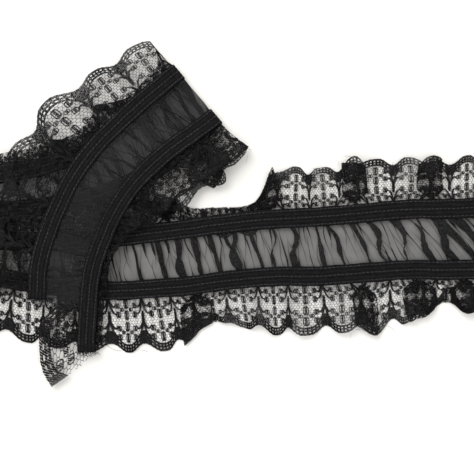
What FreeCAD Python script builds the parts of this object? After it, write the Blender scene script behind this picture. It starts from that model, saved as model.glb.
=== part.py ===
import FreeCAD, Part
import math
import os
from collections import namedtuple

# A one-yard length of double ruffled lace trim, folded twice and laid on a table, in millimetres.
# A gathered sheer strip joins two tape bands, and each band holds a gathered lace ruffle.
# The strip is followed from its far right end: along the table to the left fold, back up to the
# right as the second layer, and down again as the flap on top, which ends in a raw cut.
# "near" is the side of the long bottom layer that faces -Y, and "far" is its +Y side.

os.makedirs("parts", exist_ok=True)

# Widths across the strip
TAPE_WIDTH = 12.7
LAP = 4.0
THREAD_WIDTH = 0.5
THREAD_INSET = 1.4
FLARE_START = 0.3
FLARE_END = 1.2

# Heights measured from the middle of one layer
CLOTH_HALF = 0.4
TAPE_THICKNESS = 0.9
THREAD_HEIGHT = 0.2
LAYER_HALF = CLOTH_HALF + TAPE_THICKNESS + THREAD_HEIGHT

# How the layers lie on each other
PITCH = 3.8
BARE_TABLE_GAP = 0.4
FAR_EDGE_START, FAR_EDGE_END = 52.0, 82.0
FLAP_REST_START, FLAP_REST_END = -45.0, -12.0

# The raw cut end of the flap: the far side and the sheer stop this many sections early
FAR_CUT_SECTIONS = 2

# The near ruffle is turned under the flap there, and its end shows past the cut, in plan
TURNED_LACE = [
    (-88, -56), (-88, -79), (-91, -84), (-100, -90), (-113, -92), (-122, -97), (-131, -106),
    (-139, -92), (-140, -84), (-137, -76), (-139, -58), (-126, -45), (-108, -48),
]
TURNED_BOTTOM, TURNED_TOP = 3.2, 3.7
TURNED_SEAM_WIDTH, TURNED_SEAM_TOP = 3.0, 5.0

# Laying out the sections
RUN_STEP = 18.0
BEND_STEPS = 6
SKEW_REACH = 70.0
FLAT_TOLERANCE = 1e-6

# The middle of the plan outline in the layout's own coordinates
ORIGIN_X, ORIGIN_Y = 18.6, 14.8

# Points of each run: x, y, half width of the sheer, reach of the far ruffle, reach of the near one
BOTTOM_RUN = [
    (262, 1, 13.0, 28, 30),
    (208, 0, 13.0, 30, 28),
    (154, -1, 13.4, 28, 20),
    (134, -1.5, 13.4, 24, 15),
    (106, -2, 13.2, 28, 29),
    (57, -6, 13.1, 26, 32),
    (30, -7, 12.7, 27, 33),
    (14, -8, 12.6, 6, 31),
    (-14, -11, 12.6, 6, 22),
    (-28, -13, 12.7, 8, 19),
    (-45, -15, 12.7, 14, 35),
    (-90, -19, 11.5, 22, 36),
    (-130, -18, 9.0, 22, 36),
    (-167, -15, 6.4, 16, 33),
    (-197, -7, 5.6, 12, 26),
    (-222, 6, 5.6, 10, 22),
]
MIDDLE_RUN = [
    (-222, 6, 5.6, 10, 22),
    (-197, 20, 5.6, 9, 20),
    (-167, 30, 6.2, 8, 18),
    (-130, 35, 7.6, 8, 20),
    (-95, 45, 10.2, 9, 24),
    (-60, 65, 12.6, 20, 27),
    (-28, 94, 13.6, 25, 26),
]
TOP_RUN = [
    (-28, 94, 13.6, 25, 26),
    (-58, 71, 12.6, 32, 24),
    (-81, 49, 12.2, 41, 20),
    (-98, 25, 12.2, 42, 13),
    (-110, -2, 12.2, 40, 5),
    (-117, -26, 12.2, 34, 5),
    (-120, -60, 11.6, 28, 5),
    (-119, -79, 10.4, 22, 5),
]

Section = namedtuple("Section", "x y across outward half_sheer reach layer turn")


def smooth_step(value, start, end):
    t = min(max((value - start) / (end - start), 0.0), 1.0)
    return t * t * (3 - 2 * t)


def layer_floor(layer, y):
    """Height of the underside of a layer over the table at this y."""
    second = PITCH - (PITCH - BARE_TABLE_GAP) * smooth_step(y, FAR_EDGE_START, FAR_EDGE_END)
    third = second + PITCH * smooth_step(y, FLAP_REST_START, FLAP_REST_END)
    return (0.0, second, third)[layer]


def curve_point(points, at):
    """Values and their rate of change on a Catmull-Rom curve through the points, at = 0 to len - 1."""
    first = min(int(at), len(points) - 2)
    t = at - first
    b, c = points[first], points[first + 1]
    a = points[first - 1] if first > 0 else [2 * p - q for p, q in zip(b, c)]
    if first + 2 < len(points):
        d = points[first + 2]
    else:
        d = [2 * q - p for p, q in zip(b, c)]
    values, rates = [], []
    for p0, p1, p2, p3 in zip(a, b, c, d):
        square = 2 * p0 - 5 * p1 + 4 * p2 - p3
        cube = 3 * p1 - p0 - 3 * p2 + p3
        values.append(p1 + ((p2 - p0) * t + square * t * t + cube * t**3) / 2)
        rates.append((p2 - p0) / 2 + square * t + 1.5 * cube * t * t)
    return values, rates


def heading(points, at):
    rates = curve_point(points, at)[1]
    size = math.hypot(rates[0], rates[1])
    return rates[0] / size, rates[1] / size


def fold_directions(run_in, run_out):
    """The unit vector out of the fold and the one along it, towards the near side of the strip."""
    arriving = heading(run_in, len(run_in) - 1)
    leaving = heading(run_out, 0)
    outward = (arriving[0] - leaving[0], arriving[1] - leaving[1])
    size = math.hypot(*outward)
    outward = (outward[0] / size, outward[1] / size)
    return outward, (-outward[1], outward[0])


def run_sections(points, layer, fold_before, fold_after):
    """Sections square to the run, which slant near a fold until they lie along it."""
    side = -1 if layer == 1 else 1
    steps = []
    for i in range(len(points) - 1):
        span = math.hypot(points[i + 1][0] - points[i][0], points[i + 1][1] - points[i][1])
        count = max(1, round(span / RUN_STEP))
        steps += [i + j / count for j in range(count)]
    steps.append(len(points) - 1)
    sections = []
    for at in steps:
        (x, y, half_sheer, far, near), _ = curve_point(points, at)
        tx, ty = heading(points, at)
        nx, ny = -ty * side, tx * side
        slant = 0.0
        for fold, end in ((fold_before, 0), (fold_after, -1)):
            if fold:
                distance = math.hypot(x - points[end][0], y - points[end][1])
                along = fold[1]
                at_fold_t = heading(points, 0 if end == 0 else len(points) - 1)
                facing = -at_fold_t[1] * side * along[0] + at_fold_t[0] * side * along[1]
                slope = (along[0] * at_fold_t[0] + along[1] * at_fold_t[1]) / facing
                slant += slope * (1 - smooth_step(distance, 0, SKEW_REACH))
        across = (nx + slant * tx, ny + slant * ty)
        sections.append(Section(x, y, across, (0, 0), half_sheer, (far, near), layer, 0.0))
    return sections


def bend_sections(start, outward):
    """Sections that turn over the fold, between the last one of a run and the first of the next."""
    turns = [math.pi * (i + 1) / (BEND_STEPS + 1) for i in range(BEND_STEPS)]
    return [start._replace(outward=outward, turn=turn) for turn in turns]


def place(section, w, lift):
    """The point at w across the strip (near side positive) and lift above its right side's middle."""
    x = section.x + w * section.across[0] - ORIGIN_X
    y = section.y + w * section.across[1]
    lower = layer_floor(section.layer, y) + LAYER_HALF
    faces = -1 if section.layer == 1 else 1
    if section.turn == 0.0:
        return FreeCAD.Vector(x, y - ORIGIN_Y, lower + faces * lift)
    upper = layer_floor(section.layer + 1, y) + LAYER_HALF
    radius = (upper - lower) / 2 - faces * lift
    x += section.outward[0] * radius * math.sin(section.turn)
    y += section.outward[1] * radius * math.sin(section.turn)
    return FreeCAD.Vector(x, y - ORIGIN_Y, (lower + upper) / 2 - radius * math.cos(section.turn))


def lay_out():
    left_fold = fold_directions(BOTTOM_RUN, MIDDLE_RUN)
    top_fold = fold_directions(MIDDLE_RUN, TOP_RUN)
    bottom = run_sections(BOTTOM_RUN, 0, None, left_fold)
    middle = run_sections(MIDDLE_RUN, 1, left_fold, top_fold)
    top = run_sections(TOP_RUN, 2, top_fold, None)
    return (
        bottom
        + bend_sections(bottom[-1], left_fold[0])
        + middle
        + bend_sections(middle[-1], top_fold[0])
        + top
    )


def flat_faces(a, b, c, d):
    """One flat face for four corners in a plane, or two triangles."""
    if abs((b - a).cross(c - a).dot(d - a)) < FLAT_TOLERANCE:
        return [Part.Face(Part.makePolygon([a, b, c, d, a]))]
    return [Part.Face(Part.makePolygon(three)) for three in ((a, b, c, a), (a, c, d, a))]


def ribbon(outline, side=0):
    """A closed solid through the sections; outline(section) gives its (w, lift) corners there."""
    sections = SECTIONS if side > 0 else SECTIONS[:-FAR_CUT_SECTIONS]
    rings = [[place(section, w, lift) for w, lift in outline(section)] for section in sections]
    faces = [Part.Face(Part.makePolygon(ring + ring[:1])) for ring in (rings[0], rings[-1])]
    for ring, following in zip(rings, rings[1:]):
        for i, corner in enumerate(ring):
            beside = (i + 1) % len(ring)
            faces += flat_faces(corner, ring[beside], following[beside], following[i])
    shell = Part.makeShell(faces)
    shell.sewShape()
    solid = Part.makeSolid(shell)
    if solid.Volume < 0:
        solid.reverse()
    return solid.removeSplitter()


def strip_outline(inner, width, low, high, side):
    """A flat bar from inner to inner + width past the sheer's visible edge."""

    def outline(section):
        start = side * (section.half_sheer + inner)
        end = side * (section.half_sheer + inner + width)
        return [(start, low), (end, low), (end, high), (start, high)]

    return outline


def sheer_outline(section):
    edge = section.half_sheer + LAP
    return [(-edge, -CLOTH_HALF), (edge, -CLOTH_HALF), (edge, CLOTH_HALF), (-edge, CLOTH_HALF)]


def ruffle_outline(side):
    """Thin where it is sewn between the tapes, then as tall as the waves of its gathers."""

    def outline(section):
        band = section.half_sheer + TAPE_WIDTH
        hem = band + section.reach[0 if side < 0 else 1]
        lower_edge = [
            (band - LAP, -CLOTH_HALF),
            (band + FLARE_START, -CLOTH_HALF),
            (band + FLARE_END, -LAYER_HALF),
            (hem, -LAYER_HALF),
        ]
        upper_edge = [(w, -lift) for w, lift in reversed(lower_edge)]
        return [(side * w, lift) for w, lift in lower_edge + upper_edge]

    return outline


def turned_lace():
    """The turned-under end of the near ruffle, and the fold that joins it to the band's edge."""
    corners = [FreeCAD.Vector(x - ORIGIN_X, y - ORIGIN_Y, TURNED_BOTTOM) for x, y in TURNED_LACE]
    sheet = Part.Face(Part.makePolygon(corners + corners[:1]))
    sheet = sheet.extrude(FreeCAD.Vector(0, 0, TURNED_TOP - TURNED_BOTTOM))
    seam = []
    for section in SECTIONS[-FAR_CUT_SECTIONS:]:
        band = section.half_sheer + TAPE_WIDTH + FLARE_END
        seam.append([place(section, band + w, 0) for w in (0, TURNED_SEAM_WIDTH)])
    outline = seam[0] + seam[1][::-1]
    for corner in outline:
        corner.z = TURNED_BOTTOM
    fold = Part.Face(Part.makePolygon(outline + outline[:1]))
    return sheet, fold.extrude(FreeCAD.Vector(0, 0, TURNED_SEAM_TOP - TURNED_BOTTOM))


SECTIONS = lay_out()
TAPE_TOP = CLOTH_HALF + TAPE_THICKNESS
THREAD_ROWS = {
    "inner": THREAD_INSET - THREAD_WIDTH / 2,
    "centre": (TAPE_WIDTH - THREAD_WIDTH) / 2,
    "outer": TAPE_WIDTH - THREAD_INSET - THREAD_WIDTH / 2,
}

nodes = {"sheer_insert": ribbon(sheer_outline)}
for side_name, side in (("far", -1), ("near", 1)):
    nodes[f"{side_name}_ruffle"] = ribbon(ruffle_outline(side), side)
    for face_name, low, high in (("front", CLOTH_HALF, TAPE_TOP), ("back", -TAPE_TOP, -CLOTH_HALF)):
        outline = strip_outline(0.0, TAPE_WIDTH, low, high, side)
        nodes[f"{side_name}_{face_name}_tape"] = ribbon(outline, side)
    for row_name, inner in THREAD_ROWS.items():
        needle = strip_outline(inner, THREAD_WIDTH, TAPE_TOP, LAYER_HALF, side)
        bobbin = strip_outline(inner, THREAD_WIDTH, -LAYER_HALF, -TAPE_TOP, side)
        nodes[f"{side_name}_{row_name}_needle_thread"] = ribbon(needle, side)
        nodes[f"{side_name}_{row_name}_bobbin_thread"] = ribbon(bobbin, side)
nodes["near_ruffle"] = nodes["near_ruffle"].fuse(list(turned_lace())).removeSplitter()

whole = FreeCAD.BoundBox()
for name, shape in nodes.items():
    shape.exportStep(f"parts/{name}.step")
    whole.add(shape.BoundBox)
    print(name, "valid", shape.isValid(), "closed", shape.isClosed(), "volume", round(shape.Volume))
length = sum(
    math.hypot(b.x - a.x, b.y - a.y) for a, b in zip(SECTIONS, SECTIONS[1:])
)
print("length along the middle", round(length), "mm, plan middle", whole.Center, "sizes", whole)
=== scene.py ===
# %% [markdown]
# # A folded length of ruffled lace trim
# The object is one yard of black haberdashery trim: a gathered see-through strip between two
# ribbed tapes, with a gathered lace ruffle along each outer edge. It lies folded into three layers.
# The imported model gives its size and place, and this lesson makes the cloth that stands in for
# its plain solids.

# %% Load the fixed frame
import math

import bmesh
import bpy
import numpy as np
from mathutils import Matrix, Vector


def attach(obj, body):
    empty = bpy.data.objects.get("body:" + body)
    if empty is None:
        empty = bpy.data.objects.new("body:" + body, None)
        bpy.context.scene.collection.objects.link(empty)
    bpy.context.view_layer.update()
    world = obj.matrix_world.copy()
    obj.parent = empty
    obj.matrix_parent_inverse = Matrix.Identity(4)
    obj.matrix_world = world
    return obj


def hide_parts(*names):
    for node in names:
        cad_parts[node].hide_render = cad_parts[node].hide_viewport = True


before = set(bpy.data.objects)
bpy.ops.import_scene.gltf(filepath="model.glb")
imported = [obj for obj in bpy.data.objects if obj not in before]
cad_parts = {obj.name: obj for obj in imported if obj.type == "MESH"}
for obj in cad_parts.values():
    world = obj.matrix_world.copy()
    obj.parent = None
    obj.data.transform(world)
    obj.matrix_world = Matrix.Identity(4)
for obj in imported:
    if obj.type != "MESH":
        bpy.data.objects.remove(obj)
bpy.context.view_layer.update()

MM = 0.001

# %% [markdown]
# ## Where the strip lies
# Real trim is laid by hand: along the table, back over itself and down again as a flap. One route
# could be drawn for every piece, but the pieces would drift apart. Here the whole strip is one
# map instead: a place along it, a place across it and a lift above its right side give one point
# in space, so tapes, sheer, lace and stitches all stay together through both folds.

# %% Widths and heights, in millimetres
TAPE_WIDTH = 12.7
RIBS = 5
LAP = 4.0  # how far the sheer and the lace reach in between the two tapes
CLOTH_HALF = 0.4  # half the thickness of the cloth between the tapes
LAYER_HALF = 1.5  # from the middle of a layer to its underside
PITCH = 3.8  # from one layer up to the next
BARE_TABLE_GAP = 0.4  # what is left under a layer that leaves the one below it
FAR_EDGE = (52.0, 82.0)  # y where the second layer comes down to the table
FLAP_REST = (-45.0, -12.0)  # y where the flap comes down onto the first layer
SKEW_REACH = 70.0  # how far from a fold the sections still lean along it
ORIGIN = np.array([18.6, 14.8])
print("tapes", TAPE_WIDTH, "mm wide, layers", PITCH, "mm apart")

# %% The three runs, in millimetres
# x, y, half width of the sheer, reach of the far ruffle, reach of the near one
BOTTOM_RUN = [
    (262, 1, 13.0, 28, 30),
    (208, 0, 13.0, 30, 28),
    (154, -1, 13.4, 28, 20),
    (134, -1.5, 13.4, 24, 15),
    (106, -2, 13.2, 28, 29),
    (57, -6, 13.1, 26, 32),
    (30, -7, 12.7, 27, 33),
    (14, -8, 12.6, 6, 31),
    (-14, -11, 12.6, 6, 22),
    (-28, -13, 12.7, 8, 19),
    (-45, -15, 12.7, 14, 35),
    (-90, -19, 11.5, 22, 36),
    (-130, -18, 9.0, 22, 36),
    (-167, -15, 6.4, 16, 33),
    (-197, -7, 5.6, 12, 26),
    (-222, 6, 5.6, 10, 22),
]
MIDDLE_RUN = [
    (-222, 6, 5.6, 10, 22),
    (-197, 20, 5.6, 9, 20),
    (-167, 30, 6.2, 8, 18),
    (-130, 35, 7.6, 8, 20),
    (-95, 45, 10.2, 9, 24),
    (-60, 65, 12.6, 20, 27),
    (-28, 94, 13.6, 25, 26),
]
TOP_RUN = [
    (-28, 94, 13.6, 25, 26),
    (-58, 71, 12.6, 32, 24),
    (-81, 49, 12.2, 41, 20),
    (-98, 25, 12.2, 42, 13),
    (-110, -2, 12.2, 40, 5),
    (-117, -26, 12.2, 34, 5),
    (-120, -60, 11.6, 28, 5),
    (-119, -79, 10.4, 22, 5),
]
print("runs with", len(BOTTOM_RUN), len(MIDDLE_RUN), len(TOP_RUN), "points")


# %% A soft step, and a smooth curve through a run's points
def smooth_step(value, start, end):
    """Goes from 0 at start to 1 at end, level at both."""
    t = np.clip((value - start) / (end - start), 0.0, 1.0)
    return t * t * (3 - 2 * t)


def curve(points, at):
    """Values and rates of a Catmull-Rom curve at the places at, each from 0 to len(points) - 1."""
    points = np.array(points, float)
    padded = np.vstack([2 * points[0] - points[1], points, 2 * points[-1] - points[-2]])
    first = np.clip(at.astype(int), 0, len(points) - 2)
    t = (at - first)[:, None]
    a, b, c, d = (padded[first + i] for i in range(4))
    square = 2 * a - 5 * b + 4 * c - d
    cube = 3 * b - a - 3 * c + d
    values = b + ((c - a) * t + square * t**2 + cube * t**3) / 2
    rates = (c - a) / 2 + square * t + 1.5 * cube * t**2
    return values, rates


def headings(points, at):
    """Unit vectors along the run at the places at."""
    rates = curve(points, at)[1][:, :2]
    return rates / np.linalg.norm(rates, axis=1)[:, None]


# %% The two folds
def fold_directions(run_in, run_out):
    """The unit vectors out of a fold and along it, towards the strip's near side."""
    heading_in = headings(run_in, np.array([len(run_in) - 1.0]))[0]
    outward = heading_in - headings(run_out, np.array([0.0]))[0]
    outward /= np.linalg.norm(outward)
    return outward, np.array([-outward[1], outward[0]])


LEFT_FOLD = fold_directions(BOTTOM_RUN, MIDDLE_RUN)
TOP_FOLD = fold_directions(MIDDLE_RUN, TOP_RUN)
print("the folds point", LEFT_FOLD[0].round(2), "and", TOP_FOLD[0].round(2))

# %% Sample the three runs and the two bends between them
STEPS_PER_SPAN = 40
BEND_STEPS = 14


def run_rows(points, side, turn, fold_before, fold_after):
    """One row per sample: x, y, across x, across y, half sheer, far and near reach, turn."""
    at = np.linspace(0, len(points) - 1, (len(points) - 1) * STEPS_PER_SPAN + 1)
    values = curve(points, at)[0]
    along = headings(points, at)
    square = np.stack([-along[:, 1], along[:, 0]], 1) * side
    slant = np.zeros(len(at))
    for fold, end in ((fold_before, 0), (fold_after, -1)):
        if fold is not None:
            distance = np.linalg.norm(values[:, :2] - values[end, :2], axis=1)
            slope = (fold[1] @ along[end]) / (fold[1] @ square[end])
            slant += slope * (1 - smooth_step(distance, 0, SKEW_REACH))
    across = square + slant[:, None] * along
    return np.column_stack([values[:, :2], across, values[:, 2:], np.full(len(at), turn)])


def bend_rows(start, first_turn):
    """Rows that stay at the fold while the turn goes on by half a circle."""
    turns = first_turn + math.pi * np.arange(1, BEND_STEPS) / BEND_STEPS
    rows = np.repeat(start[None, :], len(turns), axis=0)
    rows[:, -1] = turns
    return rows


bottom = run_rows(BOTTOM_RUN, 1, 0.0, None, LEFT_FOLD)
middle = run_rows(MIDDLE_RUN, -1, math.pi, LEFT_FOLD, TOP_FOLD)
top = run_rows(TOP_RUN, 1, 2 * math.pi, TOP_FOLD, None)
ROWS = np.vstack([bottom, bend_rows(bottom[-1], 0.0), middle, bend_rows(middle[-1], math.pi), top])
moves = np.linalg.norm(np.diff(ROWS[:, :2], axis=0), axis=1)
moves += np.diff(ROWS[:, -1]) * PITCH / 2
ALONG = np.concatenate([[0.0], np.cumsum(moves)])
LENGTH = ALONG[-1]
LEFT_FOLD_AT = ALONG[len(bottom) - 1]
TOP_FOLD_AT = ALONG[-len(top)]
END_HEADING = headings(TOP_RUN, np.array([len(TOP_RUN) - 1.0]))[0]
print("strip length", round(LENGTH), "mm, folds at", round(LEFT_FOLD_AT), "and", round(TOP_FOLD_AT))


# %% The map from the strip to space
def layer_floors(y):
    """Heights of the undersides of the three layers over the table."""
    second = PITCH - (PITCH - BARE_TABLE_GAP) * smooth_step(y, *FAR_EDGE)
    third = second + PITCH * smooth_step(y, *FLAP_REST)
    return np.zeros_like(y), second, third


def strip_row(s, column):
    """One column of ROWS at the places s along the strip."""
    return np.interp(s, ALONG, ROWS[:, column])


def place(s, w, lift):
    """Points in millimetres for arrays of the place along, the place across and the lift."""
    s, w, lift = np.broadcast_arrays(s, w, lift)
    beyond = np.clip(s - LENGTH, 0, None)
    x = strip_row(s, 0) + w * strip_row(s, 2) + beyond * END_HEADING[0]
    y = strip_row(s, 1) + w * strip_row(s, 3) + beyond * END_HEADING[1]
    turn = strip_row(s, 7)
    second_bend = turn > math.pi
    floors = layer_floors(y)
    lower = np.where(second_bend, floors[1], floors[0]) + LAYER_HALF
    upper = np.where(second_bend, floors[2], floors[1]) + LAYER_HALF
    faces = np.where(second_bend, -1.0, 1.0)
    local = np.where(second_bend, turn - math.pi, turn)
    radius = (upper - lower) / 2 - faces * lift
    outward = np.where(second_bend[..., None], TOP_FOLD[0], LEFT_FOLD[0])
    push = radius * np.sin(local)
    x = x + outward[..., 0] * push - ORIGIN[0]
    y = y + outward[..., 1] * push - ORIGIN[1]
    return np.stack([x, y, (lower + upper) / 2 - radius * np.cos(local)], axis=-1)


print("the flap's end, mm:", place(LENGTH, 0.0, 0.0).round(1))

# %% [markdown]
# ## The camera, the table and the light
# The trim is seen from nearly straight above, from a little to its right. The table is a plain
# pale sheet, and broad soft lights give the matt cloth its faint highlights without hard shadows.

# %% Camera
TILT = math.radians(7)
DISTANCE = 0.48
FOCAL_LENGTH = 54.4
VIEW_CENTRE = Vector((-ORIGIN[0] * MM, -ORIGIN[1] * MM, 0))
camera_data = bpy.data.cameras.new("camera")
camera_data.sensor_width = 36
camera_data.lens = FOCAL_LENGTH
camera = bpy.data.objects.new("camera", camera_data)
camera.location = VIEW_CENTRE + DISTANCE * Vector((math.sin(TILT), 0, math.cos(TILT)))
camera.rotation_euler = (0, TILT, 0)
bpy.context.scene.collection.objects.link(camera)
bpy.context.scene.camera = camera
print("camera at", [round(v, 3) for v in camera.location])

# %% Table and lights
TABLE_SIZE = 6.0
TABLE_HEIGHT = -0.0002
bpy.ops.object.select_all(action="DESELECT")
bpy.ops.mesh.primitive_plane_add(size=TABLE_SIZE, location=(0, 0, TABLE_HEIGHT))
table = bpy.context.object
table.name = "table"


def soft_light(name, power, size, location, colour):
    """A square lamp that faces the trim."""
    data = bpy.data.lights.new(name, "AREA")
    data.energy, data.size, data.color = power, size, colour
    lamp = bpy.data.objects.new(name, data)
    lamp.location = location
    lamp.rotation_euler = (-Vector(location)).to_track_quat("-Z", "Y").to_euler()
    bpy.context.scene.collection.objects.link(lamp)
    return lamp


soft_light("window_light", 13, 1.0, (-0.5, 0.9, 1.1), (1.0, 1.0, 1.0))
soft_light("fill_light", 5, 1.6, (0.9, -0.7, 1.3), (1.0, 0.97, 0.93))
world = bpy.data.worlds.new("studio")
world.use_nodes = True
world.node_tree.nodes["Background"].inputs["Color"].default_value = (1.0, 0.99, 0.975, 1)
world.node_tree.nodes["Background"].inputs["Strength"].default_value = 0.9
bpy.context.scene.world = world
bpy.context.scene.view_settings.view_transform = "Standard"
print("lights:", [light.name for light in bpy.data.lights])

# %% [markdown]
# ## Shader maths in plain expressions
# A woven finish is mostly arithmetic on a place: lines, cells and masks. Long chains of Math nodes
# are hard to read, so one small class wraps a socket and turns + - * / and comparisons into nodes.

# %% A socket that can be calculated with
class Value:
    def __init__(self, material, socket):
        self.material, self.socket = material, socket

    def maths(self, operation, other=None, third=None):
        values = [v for v in (self, other, third) if v is not None]
        return self.material.add("ShaderNodeMath", {"operation": operation}, dict(enumerate(values)))

    def __add__(self, other):
        return self.maths("ADD", other)

    def __sub__(self, other):
        return self.maths("SUBTRACT", other)

    def __rsub__(self, other):
        return (self * -1.0) + other

    def __mul__(self, other):
        return self.maths("MULTIPLY", other)

    def __truediv__(self, other):
        return self.maths("DIVIDE", other)

    def __gt__(self, other):
        return self.maths("GREATER_THAN", other)

    def __lt__(self, other):
        return self.maths("LESS_THAN", other)

    __radd__ = __add__
    __rmul__ = __mul__


class Finish:
    """A material with its Principled shader, and one method that adds any other node."""

    def __init__(self, name):
        self.material = bpy.data.materials.new(name)
        self.material.use_nodes = True
        self.tree = self.material.node_tree
        self.shader = self.tree.nodes["Principled BSDF"]

    def add(self, kind, settings=None, inputs=None, output=0):
        node = self.tree.nodes.new(kind)
        for key, value in (settings or {}).items():
            setattr(node, key, value)
        for key, value in (inputs or {}).items():
            self.join(value, node.inputs[key])
        return Value(self, node.outputs[output])

    def join(self, value, socket):
        if isinstance(value, Value):
            self.tree.links.new(value.socket, socket)
        else:
            socket.default_value = value

    def set(self, **inputs):
        for name, value in inputs.items():
            self.join(value, self.shader.inputs[name.replace("_", " ")])

    def cloth_place(self):
        """The flat cloth coordinates in millimetres: along and across."""
        place_on_cloth = self.add("ShaderNodeUVMap", {"uv_map": "cloth"})
        split = self.add("ShaderNodeSeparateXYZ", None, {0: place_on_cloth})
        return split, Value(self, split.socket.node.outputs[1])

    def noise(self, scale, detail=2.0, vector=None):
        vector = vector or self.add("ShaderNodeTexCoord", output=3)
        return self.add("ShaderNodeTexNoise", None, {"Vector": vector, "Scale": scale, "Detail": detail})

    def colours(self, factor, stops):
        ramp = self.add("ShaderNodeValToRGB", None, {0: factor})
        elements = ramp.socket.node.color_ramp.elements
        for element, (position, colour) in zip(elements, stops):
            element.position, element.color = position, (*colour, 1)
        return ramp

    def bump(self, height, strength, distance):
        inputs = {"Height": height, "Strength": strength, "Distance": distance}
        self.set(Normal=self.add("ShaderNodeBump", None, inputs))


# %% [markdown]
# ## The finishes
# All the cloth is dyed black, and only its weave tells the pieces apart. The tape is ribbed and
# matt, the sheer is a thin voile that lets the table through, and the lace is a net of fine
# hexagons with heavier yarn for its figures. Patterns follow the cloth's own flat coordinates.

# %% Ribbed tape
TAPE_PICK = 1.1  # length of one slanting pick of the weave, in millimetres


def tape_finish():
    finish = Finish("tape")
    along, across = finish.cloth_place()
    # 1 on the crest of each rib and 0 between the ribs: it lightens the colour on the crests, a painted
    # highlight along the ribs
    rib_crest_highlight = (across * (math.pi * RIBS / TAPE_WIDTH)).maths("SINE").maths("ABSOLUTE")
    picks = ((along + across * 0.8) * (2 * math.pi / TAPE_PICK)).maths("SINE")
    lint = finish.noise(420, 4)
    nap = finish.noise(1700, 2)
    tone = rib_crest_highlight * 0.15 + picks * 0.12 + lint * 0.4 + nap * 0.36
    blacks = [(0.3, (0.002, 0.002, 0.002)), (0.8, (0.018, 0.018, 0.019))]
    finish.set(Roughness=0.9, Specular_IOR_Level=0.06, Base_Color=finish.colours(tone, blacks))
    finish.bump(picks * 0.35 + lint, 0.6, 0.00015)
    return finish.material


# %% Sheer voile
VOILE_THREAD = 0.45  # from one thread to the next, in millimetres


def sheer_finish():
    finish = Finish("sheer")
    along, across = finish.cloth_place()
    warp = (along * (2 * math.pi / VOILE_THREAD)).maths("SINE")
    weft = (across * (2 * math.pi / VOILE_THREAD)).maths("SINE")
    mottle = finish.noise(120, 3)
    crease = finish.add("ShaderNodeAttribute", {"attribute_name": "crease"}, output=2)
    # creased and gathered places are darker in colour: painted shade in the folds, while the alpha below
    # makes them denser
    tone = finish.noise(16, 2) * 0.35 + finish.noise(900, 3) * 0.65 - crease * 0.13
    finish.set(Roughness=0.7, Specular_IOR_Level=0.1)
    tints = [(0.3, (0.003, 0.003, 0.003)), (0.65, (0.032, 0.032, 0.034))]
    finish.set(Base_Color=finish.colours(tone, tints))
    finish.set(Alpha=mottle * 0.16 + warp * weft * 0.05 + crease * 0.42 + 0.5)
    finish.bump(warp + weft, 0.2, 0.00004)
    return finish.material


# %% Lace net
NET_CELL = 2.0  # from one hexagon to the next, in millimetres
NET_YARN = 0.2


def net_finish():
    """Hexagons: of two offset lattices the nearer centre wins, and yarn lies near its cell's rim."""
    finish = Finish("lace_net")
    along, across = finish.cloth_place()
    wobble = (finish.noise(170, 2) - 0.5) * 0.5
    u = along / NET_CELL + wobble
    v = across / NET_CELL + wobble
    tall = math.sqrt(3)
    centred = []
    for shift in (0.0, 0.5):
        du = (u + shift).maths("FRACT") - 0.5
        dv = ((v / tall + shift).maths("FRACT") - 0.5) * tall
        centred.append((du, dv, du * du + dv * dv))
    (u0, v0, d0), (u1, v1, d1) = centred
    first = d0 < d1
    du = (u0 * first + u1 * (1 - first)).maths("ABSOLUTE")
    dv = (v0 * first + v1 * (1 - first)).maths("ABSOLUTE")
    rim = du.maths("MAXIMUM", du * 0.5 + dv * (tall / 2))
    yarn = rim > (0.5 - NET_YARN / 2 / NET_CELL)
    tint = finish.colours(finish.noise(90), [(0.3, (0.003, 0.003, 0.003)), (0.7, (0.01, 0.01, 0.011))])
    crease = finish.add("ShaderNodeAttribute", {"attribute_name": "crease"}, output=2)
    finish.set(Roughness=0.85, Specular_IOR_Level=0.06, Alpha=yarn + crease, Base_Color=tint)
    return finish.material


# %% Lace figures and sewing thread
YARN_TWIST = 0.55  # from one turn of the yarn to the next, in millimetres


def yarn_finish(name, dark, light, cover):
    """Twisted yarn; where cover is under 1, some of it is missing between the turns."""
    finish = Finish(name)
    along, across = finish.cloth_place()
    rows = ((along + across * 0.35) * (2 * math.pi / YARN_TWIST)).maths("SINE")
    fuzz = finish.noise(700, 3)
    finish.set(Roughness=0.8, Specular_IOR_Level=0.1)
    finish.set(Base_Color=finish.colours(fuzz, [(0.3, dark), (0.7, light)]))
    if cover < 1:
        finish.set(Alpha=(rows * 0.5 + fuzz * 0.6) > (0.8 - cover))
    finish.bump(rows + fuzz, 0.5, 0.0001)
    return finish.material


TAPE = tape_finish()
SHEER = sheer_finish()
NET = net_finish()
FIGURE = yarn_finish("lace_yarn", (0.002, 0.002, 0.002), (0.018, 0.018, 0.019), 0.9)
# the thread's colour is lighter than the black tape's, with a faint blue: a painted sheen of the thread
THREAD = yarn_finish("sewing_thread", (0.012, 0.012, 0.014), (0.07, 0.07, 0.078), 1.0)
print("finishes:", [m.name for m in (TAPE, SHEER, NET, FIGURE, THREAD)])

# %% Table finish
table_top = Finish("table_top")
table_top.set(Roughness=0.55)
patches = table_top.noise(4, 3) * 0.7 + table_top.noise(60, 3) * 0.3
SHADES = [(0.35, (0.83, 0.815, 0.785)), (0.65, (0.87, 0.865, 0.85))]
table_top.set(Base_Color=table_top.colours(patches, SHADES))
table.data.materials.append(table_top.material)
print("table finish:", table_top.material.name)

# %% [markdown]
# ## From flat cloth to laid cloth
# Each cloth starts as a flat grid with its cut size, is given its flat coordinates, and is then
# laid by moving every point of the grid. A surface keeps the laid points and their normals on an
# even lattice, so that anything sewn or woven onto the cloth can be carried to its place.

# %% Flat grids, and laying them
def mesh_points(piece):
    points = np.empty(len(piece.data.vertices) * 3)
    piece.data.vertices.foreach_get("co", points)
    return points.reshape(-1, 3)


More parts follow.
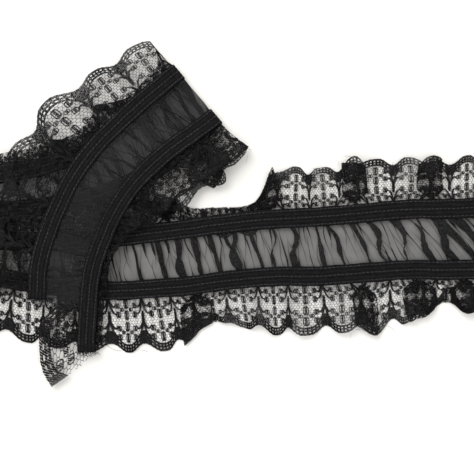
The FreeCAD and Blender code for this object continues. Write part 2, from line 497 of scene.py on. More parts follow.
def cloth_grid(name, n_along, n_across):
    """A new grid piece, and each vertex's column and row on it."""
    bpy.ops.object.select_all(action="DESELECT")
    bpy.ops.mesh.primitive_grid_add(x_subdivisions=n_along, y_subdivisions=n_across, size=1)
    piece = bpy.context.object
    piece.name = piece.data.name = name
    points = mesh_points(piece)
    column = np.rint((points[:, 0] + 0.5) * n_along).astype(int)
    row = np.rint((points[:, 1] + 0.5) * n_across).astype(int)
    return piece, column, row


def lay(piece, points, flat):
    """Moves the piece's vertices to points and writes its flat coordinates, both in millimetres."""
    piece.data.vertices.foreach_set("co", (points * MM).ravel())
    corners = np.empty(len(piece.data.loops), int)
    piece.data.loops.foreach_get("vertex_index", corners)
    for layer in list(piece.data.uv_layers):
        piece.data.uv_layers.remove(layer)
    cloth = piece.data.uv_layers.new(name="cloth")
    cloth.uv.foreach_set("vector", flat[corners].ravel())
    piece.data.update()
    return piece


def write_creases(piece, values):
    """Where cloth is gathered more finely than its mesh, it is marked as denser instead; the sheer's
    colour is also darkened there, as painted shade.
    """
    crease = piece.data.attributes.new("crease", "FLOAT", "POINT")
    crease.data.foreach_set("value", values)


# %% Surfaces that carry what is sewn or woven onto the cloth
def make_surface(points, along_end, across_start, across_end):
    """Laid points on an even lattice of flat places, with their normals."""
    normals = np.cross(np.gradient(points, axis=0), np.gradient(points, axis=1))
    normals /= np.maximum(np.linalg.norm(normals, axis=2, keepdims=True), 1e-9)
    return points, normals, along_end, across_start, across_end


def on_surface(surface, along, across, lift):
    """Carries flat places, and a lift off the cloth, to space by bilinear steps."""
    points, normals, along_end, across_start, across_end = surface
    n, m = points.shape[:2]
    a = np.clip(along / along_end * (n - 1), 0, n - 1.001)
    b = np.clip((across - across_start) / (across_end - across_start) * (m - 1), 0, m - 1.001)
    i, j = a.astype(int), b.astype(int)
    fa, fb = (a - i)[:, None], (b - j)[:, None]

    def mix(grid):
        low = grid[i, j] * (1 - fa) + grid[i + 1, j] * fa
        high = grid[i, j + 1] * (1 - fa) + grid[i + 1, j + 1] * fa
        return low * (1 - fb) + high * fb

    return mix(points) + mix(normals) * lift[:, None]


# %% New pieces from points and faces, and their finish
def repeated(faces, size, count):
    """The faces of count copies of a shape with size points."""
    return [[v + k * size for v in face] for k in range(count) for face in faces]


def new_piece(name, points, faces, flat):
    """A piece from points and flat places in millimetres."""
    mesh = bpy.data.meshes.new(name)
    mesh.from_pydata((points * MM).tolist(), [], faces)
    piece = bpy.data.objects.new(name, mesh)
    bpy.context.scene.collection.objects.link(piece)
    return lay(piece, points, flat)


def finish_piece(piece, material, nodes):
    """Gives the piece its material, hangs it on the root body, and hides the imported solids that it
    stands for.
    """
    piece.data.materials.clear()
    piece.data.materials.append(material)
    piece.data.shade_smooth()
    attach(piece, "root")
    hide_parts(*nodes)
    print(piece.name, len(piece.data.polygons), "faces")
    return piece


# %% [markdown]
# ## The tapes
# A tape is woven with lengthwise ribs, and sewing pulls it a little short so that it puckers.
# A grid follows the map of the strip with its ribs as real ridges, and Solidify gives it the
# thickness of the weave. The far side and the sheer are cut back at the flap's raw end.

# %% Smooth wandering
def wander(s, seed, step, size):
    """Values that wander between -size and size, with a new seeded aim after each step."""
    values = np.random.default_rng(seed).uniform(-1, 1, int(LENGTH * 2 / step) + 3)
    at = np.clip(s, 0, None) / step
    i = at.astype(int)
    t = smooth_step(at - i, 0, 1)
    return size * (values[i] * (1 - t) + values[i + 1] * t)


# %% Tapes
FAR_CUT = 35.0  # how much shorter the far side and the sheer are at the flap's raw end
SIDES = {"far": -1, "near": 1}
END_OF_SIDE = {"far": LENGTH - FAR_CUT, "near": LENGTH}
TAPE_STEP = 1.6
TAPE_ROWS = 30
TAPE_WEAVE = 0.55
RIB_HEIGHT = 0.28
PUCKER_LENGTH = 3.1
PUCKER_HEIGHT = 0.11


def make_tape(side_name, face_name, seed):
    """A tape with ribs, puckers and uneven edges, from its flat size."""
    side = SIDES[side_name]
    face = 1 if face_name == "front" else -1
    end = END_OF_SIDE[side_name]
    steps = int(end / TAPE_STEP)
    tape, column, row = cloth_grid(f"{side_name}_{face_name}_tape_cloth", steps, TAPE_ROWS)
    s = column / steps * end
    v = row / TAPE_ROWS
    inner = strip_row(s, 4) + wander(s, seed, 9, 0.3) + wander(s, seed + 4, 2.6, 0.15)
    w = inner + v * (TAPE_WIDTH + wander(s, seed + 1, 11, 0.4) + wander(s, seed + 5, 3.0, 0.2))
    ribs = np.abs(np.sin(math.pi * RIBS * v)) ** 0.6 * RIB_HEIGHT
    pucker = wander(s, seed + 2, PUCKER_LENGTH, PUCKER_HEIGHT) * (0.4 + np.abs(2 * v - 1))
    frayed = np.where(np.minimum(column, steps - column) == 0, wander(row * 3.0, seed + 3, 3, 0.7), 0)
    lift = face * (CLOTH_HALF + TAPE_WEAVE + ribs + pucker)
    lay(tape, place(s + frayed, side * w, lift), np.stack([s, v * TAPE_WIDTH], 1))
    if side * face < 0:
        tape.data.flip_normals()
    solid = tape.modifiers.new("weave", "SOLIDIFY")
    solid.thickness, solid.offset = TAPE_WEAVE * MM, -1
    bpy.ops.object.modifier_apply(modifier="weave")
    finish_piece(tape, TAPE, [f"{side_name}_{face_name}_tape"])
    end * MM
    return tape


TAPES = [("far", "front"), ("near", "front"), ("far", "back"), ("near", "back")]
for i, (side_name, face_name) in enumerate(TAPES):
    make_tape(side_name, face_name, 10 * i)

# %% [markdown]
# ## The sheer
# The middle strip is voile, cut nearly twice as long as the trim and gathered by the tapes. Where
# it is gathered it lies over itself in narrow slanting pleats, and there it looks darker because
# light has to pass more layers; its colour is darkened there too, as painted shade. The pleats are
# real: along each row of cloth the pace forward turns negative for a moment, so the cloth runs
# back over itself while it is lifted.

# %% Pleats along a row of cloth
def pleated(flat, folds):
    """Forward pace and lift of cloth with its folds: (centre, width, strength, height) each.

    flat holds each point's place along the cut cloth, one column for each lengthwise row.
    """
    pace, lift = np.ones_like(flat), np.zeros_like(flat)
    for centre, width, strength, height in folds:
        margin = 4 * np.max(width)
        first = np.searchsorted(flat.min(axis=1), centre.min() - margin - np.ptp(flat, axis=1).max())
        last = np.searchsorted(flat.max(axis=1), centre.max() + margin + np.ptp(flat, axis=1).max())
        off = flat[first:last] - centre
        pace[first:last] -= strength * np.exp(-((off / width) ** 2))
        lift[first:last] += height * np.exp(-(((off / width - 0.6) / 1.6) ** 2))
    return pace, lift


def laid_along(flat, pace, end, settle):
    """Turns paces into places along the strip, each row of cloth reaching the same end.

    Rows with weaker folds would run ahead of the others and shear the cloth, so the slow part
    of each row's lead, over the settling number of steps, is taken back in fine gathers.
    """
    steps = np.diff(flat, axis=0, prepend=flat[:1]) * pace
    places = np.cumsum(steps, axis=0)
    places = places / places[-1:] * end
    slack = places - flat / flat[-1:] * end
    lead = slack - slack.mean(axis=1, keepdims=True)
    bell = np.exp(-((np.arange(-3 * settle, 3 * settle + 1) / settle) ** 2))
    padded = np.pad(lead, ((3 * settle, 3 * settle), (0, 0)), mode="edge")
    slow = [np.convolve(row, bell / bell.sum(), "valid") for row in padded.T]
    return np.clip(places - np.stack(slow, 1), 0, end)


# %% The sheer's folds
SHEER_FULLNESS = 1.7
SHEER_END = END_OF_SIDE["far"]
SHEER_FLAT = SHEER_END * SHEER_FULLNESS
PLEAT_GAP = 23.0
PLEAT_WIDTH = (0.6, 1.1)
PLEAT_STRENGTH = (2.4, 3.4)
TUCKS_PER_PLEAT = 8
TUCK_WIDTH = (0.4, 0.6)
TUCK_STRENGTH = (1.6, 2.8)
TUCK_HEIGHT = 0.25


def sheer_slant(at):
    """How far a pleat leans over half the sheer's width: strongly at the right, little after."""
    return -4 - 20 * (1 - smooth_step(at / SHEER_FULLNESS, 90, 260))


def sheer_folds(v, rng):
    """Broad pleats right across the sheer, and fine tucks that fade out from either seam."""
    folds = []
    for k in range(int(SHEER_FLAT / PLEAT_GAP)):
        at = (k + rng.uniform(0.3, 0.7)) * PLEAT_GAP
        sway = rng.uniform(-1, 6) * np.sin(math.pi * v + rng.uniform(-0.7, 0.7))
        firm = rng.uniform(*PLEAT_STRENGTH) * (1 - 0.3 * (v - rng.uniform(-0.8, 0.8)) ** 2)
        line = at + sheer_slant(at) * v + sway
        crowding = 1 + 0.5 * (1 - smooth_step(at / SHEER_FULLNESS, 120, 180))
        width = rng.uniform(*PLEAT_WIDTH) * crowding
        folds.append((line, width, firm, rng.uniform(0.5, 1.0) * firm / 3))
    for k in range(int(SHEER_FLAT / PLEAT_GAP * TUCKS_PER_PLEAT)):
        at = (k + rng.uniform(0.1, 0.9)) * PLEAT_GAP / TUCKS_PER_PLEAT
        line = at + sheer_slant(at) * rng.uniform(0.85, 1.25) * v
        line = line + rng.uniform(-1.5, 2.5) * np.sin(3 * v)
        middle = rng.choice([-1.0, 1.0]) * rng.uniform(0.5, 1.1)
        fade = np.exp(-(((v - middle) / rng.uniform(0.5, 1.3)) ** 2))
        width = rng.uniform(*TUCK_WIDTH)
        folds.append((line, width, rng.uniform(*TUCK_STRENGTH) * fade, TUCK_HEIGHT * fade))
    return folds


print("sheer cut", round(SHEER_FLAT), "mm long for", round(SHEER_END), "mm of trim")

# %% Lay the sheer
SHEER_HALF_FLAT = 17.0
SHEER_STEP = 0.4
SHEER_ROWS = 23
SHEER_SETTLE = 30


def lay_sheer():
    """Laid points, flat places and creases, on a grid whose columns lean as the pleats do."""
    n = int(SHEER_FLAT / SHEER_STEP)
    column_at = np.linspace(0, SHEER_FLAT, n + 1)[:, None]
    v = np.linspace(-1, 1, SHEER_ROWS + 1)[None, :]
    square_start = smooth_step(column_at, 0, 80)
    square_end = 1 - smooth_step(column_at, SHEER_FLAT - 40, SHEER_FLAT)
    flat = column_at + sheer_slant(column_at) * (square_start * square_end) * v
    pace, lift = pleated(flat, sheer_folds(v, np.random.default_rng(5)))
    places = laid_along(flat, pace, SHEER_END, SHEER_SETTLE)
    lift += 0.15 * np.sin(flat * 1.1 + 3 * v) + 0.3 * np.sin(flat * 0.31 - 1.4 * v)
    held = np.clip((np.abs(v) - 0.72) / 0.28, 0, 1)
    lift *= 1 - held**0.5
    points = place(places, v * (strip_row(places, 4) + LAP * 0.8), lift)
    # near both seams the sheer is marked in fine stripes: denser there for gathers too fine for the
    # mesh, and darker in colour as painted shade
    seam_gathers_and_shade = np.abs(v) ** 5 * (0.3 + 0.3 * np.sin(flat * 2.7 + 3 * np.sin(flat * 0.4)))
    flat_places = np.stack([flat, np.broadcast_to(v * SHEER_HALF_FLAT, flat.shape)], axis=-1)
    return points, flat_places, np.clip(0.9 - pace, 0, 1) + seam_gathers_and_shade


points, flat_places, creases = lay_sheer()
sheer, column, row = cloth_grid("sheer_cloth", len(points) - 1, SHEER_ROWS)
lay(sheer, points[column, row], flat_places[column, row])
write_creases(sheer, creases[column, row])
finish_piece(sheer, SHEER, ["sheer_insert"])
SHEER_FLAT * MM

# %% [markdown]
# ## The ruffles
# Each ruffle is lace gathered into the tape, cut about a third longer than the trim, so there is
# more of it at the hem than room for it. It lies in gentle waves, and in some places it has been
# pushed over itself into a dark doubled fold. A cloth simulation would put the folds anywhere, so
# they are given here: a short list of folds on each side, and seeded waves between them.

# %% Sizes of the lace
SCALLOP = 23.0
SCALLOPS = 54
LACE_LENGTH = SCALLOP * SCALLOPS
LACE_WIDTH = 39.0
CUSP_DEPTH = 6.0
LACE_STEP = 0.9
LACE_ROWS = 34
LACE_SETTLE = 34


def hem_at(flat_along):
    """Width of the lace at a place along it: round scallops with narrower round dips between."""
    dip = 0.5 + 0.5 * np.cos(2 * math.pi * flat_along / SCALLOP)
    return LACE_WIDTH - CUSP_DEPTH * dip**1.4


LACE_AREA = hem_at(np.linspace(0, SCALLOP, 200)).mean() * LACE_LENGTH
print("lace cut", LACE_LENGTH, "mm long,", round(LACE_AREA), "square mm")

# %% Folds on the lace
FLAP_OPENED = 0.45  # how much less gathered the lace of the flap is
FLAP_LACE = (0.78, 0.88)  # shares of the lace's length between which it opens


def folds_on_lace(folds, end, opened, spread, firm, seed):
    """Leaning and flaring fold lines on the flat lace, for folds placed along the strip."""
    rng = np.random.default_rng(seed)
    used = [strength * width * math.sqrt(math.pi) for _, width, strength, _ in folds]
    ease = end / (LACE_LENGTH * (1 + opened.mean()) - sum(used))
    flare = 0.7 + 0.5 * spread
    lines = []
    for (at, width, strength, height), before, own in zip(folds, np.cumsum([0] + used), used):
        lean, curl = rng.uniform(-8, 8), rng.uniform(-3, 3)
        centre = at / ease + before + own / 2 + lean * (spread - 0.5) + curl * np.sin(3 * spread)
        lines.append((centre, width * flare, strength * firm / flare, height * spread))
    return lines


# %% How far the lace reaches, and how freely it stands
SHORTEST_SHOWN = 0.78  # share of the lace's width that is at least laid out or turned under
RAW_END_SHOWN = 1.42  # the same at the flap's raw end, where the lace is pulled out
RAW_END_LENGTH = 75.0
FOLD_PEAK = 3.5
TUCKED = 0.6
COVERED_HEADROOM = 0.3


def headroom(s):
    """How freely the ruffle stands: under the flap and between the layers it is pressed flat."""
    covered = smooth_step(s, 255, 300) * (1 - smooth_step(s, TOP_FOLD_AT - 30, TOP_FOLD_AT + 10))
    return 1 + (COVERED_HEADROOM - 1) * covered


def reach_and_full(side, folds, places):
    """How far the lace shows past the tape's edge, and how wide it would be laid out."""
    reach = strip_row(places, 5 if side < 0 else 6) + LAP
    if side < 0:
        tuck_in = smooth_step(places, TOP_FOLD_AT - 75, TOP_FOLD_AT - 35)
        tuck_out = smooth_step(places, TOP_FOLD_AT - 12, TOP_FOLD_AT)
        reach = reach * (1 - TUCKED * tuck_in * (1 - tuck_out))
    for at, _, strength, _ in folds:
        reach = reach + FOLD_PEAK * strength / 3 * np.exp(-(((places - at) / 6) ** 2))
    raw_end = smooth_step(places, LENGTH - RAW_END_LENGTH, LENGTH - 15) * (side > 0)
    shown = SHORTEST_SHOWN + raw_end * (RAW_END_SHOWN - SHORTEST_SHOWN)
    return reach, np.maximum(reach, shown * LACE_WIDTH)


# %% Lay a ruffle
RAW_END_SLANT = 0.62
FOLD_BULGE = 6.0
GATHER_LENGTH = 4.1


def ruffle_surface(side, end, folds, seed):
    """The laid surface of one lace, and its creases, from the tape's inside to the hem."""
    n = int(LACE_LENGTH / LACE_STEP)
    flat_along = np.linspace(0, LACE_LENGTH, n + 1)[:, None]
    across = np.linspace(0, LACE_WIDTH, LACE_ROWS + 1)[None, :]
    spread = np.clip((across - LAP) / (LACE_WIDTH - LAP), 0, 1) ** 1.1
    firm = np.clip((across - LAP) / 9, 0.1, 1) ** 0.6
    opened = FLAP_OPENED * smooth_step(flat_along, *(LACE_LENGTH * share for share in FLAP_LACE))
    flat = np.repeat(flat_along, LACE_ROWS + 1, axis=1)
    pace, lift = pleated(flat, folds_on_lace(folds, end, opened, spread, firm, seed))
    pace += opened
    # waves, freer towards the hem
    phase = np.cumsum(2 * math.pi / (34 + wander(flat_along, seed + 1, 40, 9)), axis=0) * LACE_STEP
    swell = 1.6 + wander(flat_along, seed + 2, 55, 0.9)
    pace += 0.25 * spread * np.cos(phase)
    lift += spread * swell * (1 + np.sin(phase + 0.8 * spread))
    places = laid_along(flat, pace, end, LACE_SETTLE)
    # small gathers beside the tape
    free = headroom(places)
    gathers = np.sin(flat_along * 2 * math.pi / GATHER_LENGTH + 2.2 * np.sin(flat_along * 0.23))
    inside = np.clip((across - LAP) / 3, 0, 1)
    lift = lift * free + 0.75 * gathers * inside * (1 - spread) ** 2
    lift -= (LAYER_HALF - 0.35) * smooth_step(across, LAP, LAP + 9)
    # what is wider than it shows is turned under and pressed flat
    reach, full = reach_and_full(side, folds, places)
    out = across / LACE_WIDTH * full
    past = np.clip(out - reach, 0, None)
    out = out - 2 * past
    under = smooth_step(past, 0, 3)
    lift = lift * (1 - under) - (LAYER_HALF - 0.4) * under
    band = strip_row(places, 4) + TAPE_WIDTH - LAP
    askew = past * RAW_END_SLANT * smooth_step(places, LENGTH - 30, LENGTH) * (side > 0)
    points = place(places + askew, side * (band + out), np.maximum(lift, 0.25 - LAYER_HALF))
    # the open loop of lace at the top fold
    bulge = FOLD_BULGE * spread * np.exp(-(((places - TOP_FOLD_AT) / 14) ** 2)) * (side > 0)
    points[..., :2] += bulge[..., None] * TOP_FOLD[0]
    creases = 0.4 * (0.5 + 0.5 * gathers) * (1 - spread) ** 2
    return make_surface(points, LACE_LENGTH, 0.0, LACE_WIDTH), creases


# %% The folds of the two ruffles
# place along the strip, width of the fold, how hard the cloth turns back, height of the fold
FAR_FOLDS = [
    (28, 5, 2.8, 4), (82, 5, 3.0, 4), (133, 6, 3.2, 4.5), (180, 6, 3.2, 4.5), (236, 7, 3.4, 4),
    (300, 6, 2.8, 3), (350, 6, 2.8, 3), (420, 6, 2.8, 3), (480, 6, 2.8, 3), (540, 6, 2.8, 3),
    (600, 6, 2.8, 3), (650, 6, 3.0, 3),
]
NEAR_FOLDS = [
    (40, 5, 2.6, 4), (84, 4, 2.6, 4), (116, 6, 3.4, 4), (138, 7, 3.4, 4.5), (176, 5, 3.2, 4),
    (290, 6, 3.4, 4.5), (440, 5, 2.6, 3), (500, 6, 2.8, 3), (560, 6, 2.8, 3), (620, 6, 2.8, 3),
    (690, 6, 3.2, 3.5), (722, 6, 3.2, 3.5), (750, 6, 3.2, 3.5), (790, 5, 2.8, 3),
]
RUFFLES = {
    "far": ruffle_surface(-1, END_OF_SIDE["far"], FAR_FOLDS, 21),
    "near": ruffle_surface(1, END_OF_SIDE["near"], NEAR_FOLDS, 47),
}
print("folds laid:", len(FAR_FOLDS), "far and", len(NEAR_FOLDS), "near")

# %% The nets
NET_ROWS = 26
NET_MARGIN = 0.3  # the net ends this far inside the hem's cord
RAGGED_END = 3.0


def make_net(side_name):
    """The net of one lace, cut to its scallops and torn at the flap's raw end."""
    surface, creases = RUFFLES[side_name]
    n = int(LACE_LENGTH / LACE_STEP)
    net, column, row = cloth_grid(f"{side_name}_ruffle_net", n, NET_ROWS)
    along = column / n * LACE_LENGTH
    ragged = np.random.default_rng(61).uniform(0, RAGGED_END, NET_ROWS + 1)[row]
    along = along - ragged * smooth_step(along, LACE_LENGTH - 12, LACE_LENGTH)
    across = row / NET_ROWS * (hem_at(along) - NET_MARGIN)
    points = on_surface(surface, along, across, np.zeros(len(along)))
    lay(net, points, np.stack([along, across], 1))
    write_creases(net, creases[column, np.rint(across / LACE_WIDTH * LACE_ROWS).astype(int)])
    if side_name == "far":
        net.data.flip_normals()
    return finish_piece(net, NET, [f"{side_name}_ruffle"])


nets = {side_name: make_net(side_name) for side_name in RUFFLES}

# %% [markdown]
# ## The lace figures
# The machine works the figures into the net in heavier yarn: a flower of small blocks in each
# scallop, a second one above it, forked sprigs between them, and a ladder band along the hem.
# One repeat is modelled flat, then copied along the cloth and carried onto it.

# %% One woven block
YARN_LIFT = 0.16  # how far a figure stands off its net, on either side
RING_YARN = 0.17


def flat_block(along, out, long_along, long_out):
    """A woven block: a squared ring of outline yarn, flattened, with filling yarn inside."""
    bpy.ops.object.select_all(action="DESELECT")
    bpy.ops.mesh.primitive_torus_add(
        major_segments=8, minor_segments=3, major_radius=0.38, minor_radius=RING_YARN,
        rotation=(0, 0, math.pi / 8),
    )
    block = bpy.context.object
    bpy.ops.object.transform_apply(location=True, rotation=True, scale=True)
    points = mesh_points(block)
    points[:, :2] = np.sign(points[:, :2]) * np.abs(points[:, :2] * 2) ** 0.6 / 2
    block.data.vertices.foreach_set("co", points.ravel())
    bpy.ops.object.mode_set(mode="EDIT")
    bpy.ops.mesh.primitive_cube_add(size=1, scale=(0.4, 0.7, 0.18))
    bpy.ops.object.mode_set(mode="OBJECT")
    block.location = (along, out, 0)
    block.scale = (long_along, long_out, YARN_LIFT / RING_YARN)
    bpy.ops.object.transform_apply(location=True, rotation=True, scale=True)
    return block


# %% A flower of blocks
def flower(centre_out):
    """Two long blocks in line, a small one each side of their gap, and four leaning outwards."""
    middle = SCALLOP / 2
    blocks = [
        flat_block(middle, centre_out + 3.7, 3.3, 6.4),
        flat_block(middle, centre_out - 3.7, 3.3, 6.2),
    ]
    for hand in (-1, 1):
        blocks.append(flat_block(middle + hand * 3.2, centre_out, 2.8, 2.6))
        blocks.append(flat_block(middle + hand * 5.8, centre_out + 3.3, 3.1, 4.2))
        blocks.append(flat_block(middle + hand * 5.8, centre_out - 2.6, 3.1, 3.6))
    return blocks


# %% Tubes along smooth curves
def curved_tube(name, points, radii, depth, resolution, caps):
    """A tube along a smooth curve, with a radius at each of its points, made a mesh."""
    curve_data = bpy.data.curves.new(name, "CURVE")
    curve_data.dimensions = "3D"
    curve_data.bevel_depth = depth
    curve_data.bevel_resolution = resolution
    curve_data.use_fill_caps = caps
    curve_data.resolution_u = 3
    spline = curve_data.splines.new("NURBS")
    spline.points.add(len(points) - 1)
    for point, place_on_curve, radius in zip(spline.points, points, radii):
        point.co = (*place_on_curve, 1)
        point.radius = radius
    spline.order_u = 3
    spline.use_endpoint_u = True
    made = bpy.data.objects.new(name, curve_data)
    bpy.context.scene.collection.objects.link(made)
    bpy.ops.object.select_all(action="DESELECT")
    made.select_set(True)
    bpy.context.view_layer.objects.active = made
    bpy.ops.object.convert(target="MESH")
    return made


# %% Forked sprigs
STEM_RADIUS = 0.56
LOWER_BRANCH = ([(0, 6), (1.6, 11), (3.8, 12), (5.0, 9.5)], [1.2, 1.4, 1.1, 0.9])
UPPER_BRANCH = ([(0, 6), (1.0, 12), (3.0, 17), (5.4, 16.5)], [0.9, 1.3, 1.1, 0.8])


def sprig(points, widths):
    """A flattened stem that swells and tapers, with a width at each of its points."""
    stem = curved_tube("sprig", [(x, y, 0) for x, y in points], widths, STEM_RADIUS, 0, False)
    flattened = mesh_points(stem)
    flattened[:, 2] *= YARN_LIFT / STEM_RADIUS
    stem.data.vertices.foreach_set("co", flattened.ravel())
    return stem


def sprigs(root_out):
    """A stout trunk on the dip's line, and two branches on each side that bend to the flowers."""
    stems = [sprig([(0, root_out), (0.2, root_out + 4), (0, root_out + 8)], [1.3, 2.3, 1.7])]
    for hand in (-1, 1):
        for path, widths in (LOWER_BRANCH, UPPER_BRANCH):
            stems.append(sprig([(hand * x, root_out + y) for x, y in path], widths))
    return stems


# %% The ladder band along one scallop's hem
LADDER_PITCH = 2.1
BAND_DEPTHS = np.array([0.0, 1.4, 2.3, 3.4, 4.3, 5.6])  # of its lines, in from the hem
BEAD = 0.3  # how far each rung stands out at the hem
DIP_FILLING = 3.2  # how much deeper the band is in the dip between two scallops
DIP_WIDTH = 3.4


def ladder_band():
    """A grid whose windows are deleted, bent to the scallop, with the thickness of the cord."""
    columns = round(SCALLOP / LADDER_PITCH) * 2
    band, column, row = cloth_grid("ladder_band", columns, len(BAND_DEPTHS) - 1)
    along = column / columns * SCALLOP
    from_dip = np.minimum(along, SCALLOP - along)
    in_dip = np.exp(-((from_dip / DIP_WIDTH) ** 2))
    depth = BAND_DEPTHS[row] * (1 + DIP_FILLING / BAND_DEPTHS[-1] * in_dip)
    bead = BEAD * ((column % 2 == 0) & (row == 0))
    across = hem_at(along) - depth + bead
    band.data.vertices.foreach_set("co", np.stack([along, across, 0 * along], 1).ravel())
    bm = bmesh.new()
    bm.from_mesh(band.data)
    windows = []
    for face in bm.faces:
        columns_here = [column[vertex.index] for vertex in face.verts]
        rows_here = [row[vertex.index] for vertex in face.verts]
        clear_of_dip = 2 < min(columns_here) < columns - 3
        if clear_of_dip and min(rows_here) in (1, 3) and min(columns_here) % 2:
            windows.append(face)
    bmesh.ops.delete(bm, geom=windows, context="FACES")
    bm.to_mesh(band.data)
    bm.free()
    solid = band.modifiers.new("cord", "SOLIDIFY")
    solid.thickness, solid.offset = 2 * YARN_LIFT, 0
    bpy.ops.object.modifier_apply(modifier="cord")
    return band


# %% Join one repeat
def join(pieces, name):
    """Joins flat pieces into the first of them."""
    bpy.ops.object.select_all(action="DESELECT")
    for piece in pieces:
        piece.select_set(True)
    bpy.context.view_layer.objects.active = pieces[0]
    bpy.ops.object.join()
    bpy.context.object.name = name
    return bpy.context.object


repeat = join(
    [ladder_band(), *flower(25.5), *flower(10.5), *sprigs(11.5), *sprigs(-3.0)], "lace_repeat"
)
REPEAT_POINTS = mesh_points(repeat)
REPEAT_FACES = [list(face.vertices) for face in repeat.data.polygons]
bpy.data.objects.remove(repeat, do_unlink=True)
print("one repeat of the lace has", len(REPEAT_FACES), "faces")


# %% Copy the repeat along the cloth
def copies_on(name, flat_points, faces, shifts, surface, flip):
    """One mesh of many flat copies, each shifted along the cloth and carried onto it."""
    flat = np.concatenate([flat_points + np.array([shift, 0, 0]) for shift in shifts])
    flat[:, 0] = np.clip(flat[:, 0], 0.2, surface[2] - 0.2)
    lift = -flat[:, 2] if flip else flat[:, 2]
    points = on_surface(surface, flat[:, 0], flat[:, 1], lift)
    piece = new_piece(name, points, repeated(faces, len(flat_points), len(shifts)), flat[:, :2])
    if flip:
        piece.data.flip_normals()
    return piece


SHIFTS = [SCALLOP * k for k in range(SCALLOPS)]
for side_name, net in nets.items():
    name = f"{side_name}_ruffle_figures"
    surface = RUFFLES[side_name][0]
    figures = copies_on(name, REPEAT_POINTS, REPEAT_FACES, SHIFTS, surface, side_name == "far")
    finish_piece(figures, FIGURE, [f"{side_name}_ruffle"])
    cut_area = LACE_AREA * MM**2

# %% [markdown]
# ## The stitches
# Three rows of lockstitch run along each tape. Every stitch is a short thread that dips into the
# weave at both ends. One is drawn as a bent tube, then copied along each row, on the front and on
# the back. A row could be one long wavy tube, but then it would look like piping.

# %% One stitch
STITCH_PITCH = 2.7
STITCH_WIDTH = 0.5
STITCH_SINK = 0.1


def tube_shape(name, points, radii, depth, resolution):
    """The points and faces of a capped tube."""
    made = curved_tube(name, points, radii, depth, resolution, True)
    shape = mesh_points(made), [list(face.vertices) for face in made.data.polygons]
    bpy.data.objects.remove(made, do_unlink=True)
    return shape


half_stitch = STITCH_PITCH * 0.44
STITCH_PATH = [
    (-half_stitch, 0.12, -0.45), (-half_stitch * 0.8, 0.1, 0.1), (0, 0, 0.22),
    (half_stitch * 0.8, -0.1, 0.1), (half_stitch, -0.12, -0.45),
]
STITCH_SWELL = [0.7, 1, 1.1, 1, 0.7]
STITCH_POINTS, STITCH_FACES = tube_shape("stitch", STITCH_PATH, STITCH_SWELL, STITCH_WIDTH / 2, 1)
print("one stitch has", len(STITCH_FACES), "faces")

# %% Rows of stitches
SEAM_INSET = 1.4
ROW_PLACES = {"inner": SEAM_INSET, "centre": TAPE_WIDTH / 2, "outer": TAPE_WIDTH - SEAM_INSET}
FIRST_STITCH = 2.0
END_MARGIN = 3.0


def make_stitches(side_name, row_name, face_name):
    """One row of stitches on one face of one side's tapes."""
    side = SIDES[side_name]
    face = 1 if face_name == "needle" else -1
    count = int((END_OF_SIDE[side_name] - END_MARGIN) / STITCH_PITCH)
    starts = FIRST_STITCH + STITCH_PITCH * np.arange(count)
    points = np.tile(STITCH_POINTS, (count, 1))
    s = points[:, 0] + np.repeat(starts, len(STITCH_POINTS))
    drift = wander(s, 7 + ord(row_name[0]), 6, 0.15)
    w = strip_row(s, 4) + ROW_PLACES[row_name] + points[:, 1] + drift
    lift = face * (CLOTH_HALF + TAPE_WEAVE + STITCH_SINK + 0.8 * points[:, 2])
    laid = place(s, side * w, lift)
    faces = repeated(STITCH_FACES, len(STITCH_POINTS), count)
    flat = np.stack([s, points[:, 1]], 1)
    stitches = new_piece(f"{side_name}_{row_name}_{face_name}_stitches", laid, faces, flat)
    if side * face > 0:
        stitches.data.flip_normals()
    return finish_piece(stitches, THREAD, [f"{side_name}_{row_name}_{face_name}_thread"])


for side_name in RUFFLES:
    for row_name in ROW_PLACES:
        for face_name in ("needle", "bobbin"):
            make_stitches(side_name, row_name, face_name)

# %% [markdown]
# ## Raw ends and loose hairs
# Cut tape and voile fray: thread ends stick out a few millimetres past the cut, and a few hairs of
# yarn stand out from the hems. One straight hair is drawn and then bent, copy by copy, in place.

# %% One hair
FRAY_LENGTH = (2.0, 5.0)
HEM_HAIR_LENGTH = (5.0, 13.0)
HAIR_RADIUS = 0.11
LOWEST_HAIR = 0.3
HAIR_TAPER = [1, 1, 1, 0.9, 0.8, 0.7, 0.5]
HAIR_PATH = [(k / 6, 0, 0) for k in range(7)]
HAIR_POINTS, HAIR_FACES = tube_shape("hair", HAIR_PATH, HAIR_TAPER, HAIR_RADIUS, 0)
print("one hair has", len(HAIR_FACES), "faces")


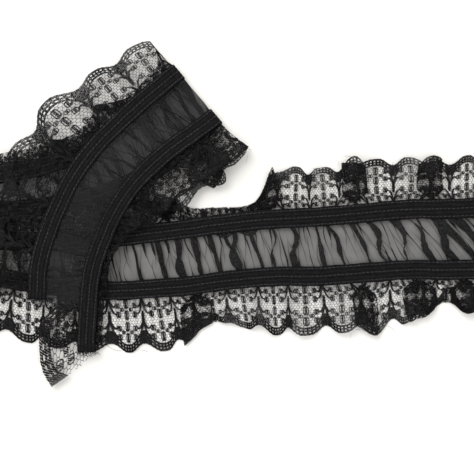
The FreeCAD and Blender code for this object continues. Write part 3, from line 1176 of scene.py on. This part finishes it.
# %% Frayed ends
def hairs(roots, angles, lengths, rng):
    """Bent copies of the hair: roots are places along, across and up; angles are in the cloth."""
    laid, flat = [], []
    for (s, w, lift), angle, length in zip(roots, angles, lengths):
        t = HAIR_POINTS[:, 0]
        turn = angle + rng.uniform(-1.2, 1.2) * t + rng.uniform(-0.5, 0.5) * np.sin(6 * t)
        along = s + length * t * np.cos(turn)
        across = w + length * t * np.sin(turn)
        rise = lift + rng.uniform(-0.3, 0.3) * t
        core = place(along, across, rise)
        core[:, 2] = np.maximum(core[:, 2], LOWEST_HAIR)
        ring = HAIR_POINTS[:, 1:] * rng.uniform(0.7, 1.3)
        laid.append(core + np.stack([ring[:, 0] * 0.7, ring[:, 0] * 0.7, ring[:, 1]], 1))
        flat.append(np.stack([along, across], 1))
    faces = repeated(HAIR_FACES, len(HAIR_POINTS), len(roots))
    return np.concatenate(laid), faces, np.concatenate(flat)


def make_raw_end(name, end, nearest, furthest, count, seed, node):
    """Thread ends along a cut across the strip, from its place nearest to furthest."""
    rng = np.random.default_rng(seed)
    across = rng.uniform(nearest, furthest, count)
    roots = [(end - 0.4, w, rng.uniform(-0.6, 1.2)) for w in across]
    angles = rng.normal(0, 0.45, count)
    points, faces, flat = hairs(roots, angles, rng.uniform(*FRAY_LENGTH, count), rng)
    return finish_piece(new_piece(name, points, faces, flat), THREAD, [node])


half_sheer = float(strip_row(LENGTH, 4))
make_raw_end("near_tape_fray", LENGTH, half_sheer, half_sheer + TAPE_WIDTH, 70, 81, "near_front_tape")
make_raw_end("sheer_fray", SHEER_END, -half_sheer, half_sheer, 80, 82, "sheer_insert")
make_raw_end("far_tape_fray", SHEER_END, -half_sheer - TAPE_WIDTH, -half_sheer, 60, 83, "far_front_tape")


# %% Loose hairs along the hems
def make_hem_hairs(side_name, count, seed):
    """Hairs that start on the hem and sink towards the table."""
    rng = np.random.default_rng(seed)
    points = RUFFLES[side_name][0][0]
    laid, flat = [], []
    for _ in range(count):
        root = points[rng.integers(20, int(len(points) * 0.9)), -2]
        turn = rng.uniform(0, 2 * math.pi) + rng.uniform(-2, 2) * HAIR_POINTS[:, 0]
        length = rng.uniform(*HEM_HAIR_LENGTH)
        steps = length * HAIR_POINTS[:, 0]
        core = root + np.stack([steps * np.cos(turn), steps * np.sin(turn), 0 * steps], 1)
        core[:, 2] = np.maximum(core[:, 2] * (1 - 0.7 * HAIR_POINTS[:, 0]), LOWEST_HAIR)
        laid.append(core + HAIR_POINTS[:, [1, 1, 2]] * np.array([0.7, 0.7, 1]))
        flat.append(np.stack([steps, 0 * steps], 1))
    faces = repeated(HAIR_FACES, len(HAIR_POINTS), count)
    piece = new_piece(f"{side_name}_hem_hairs", np.concatenate(laid), faces, np.concatenate(flat))
    return finish_piece(piece, THREAD, [f"{side_name}_ruffle"])


make_hem_hairs("far", 16, 91)
make_hem_hairs("near", 26, 92)
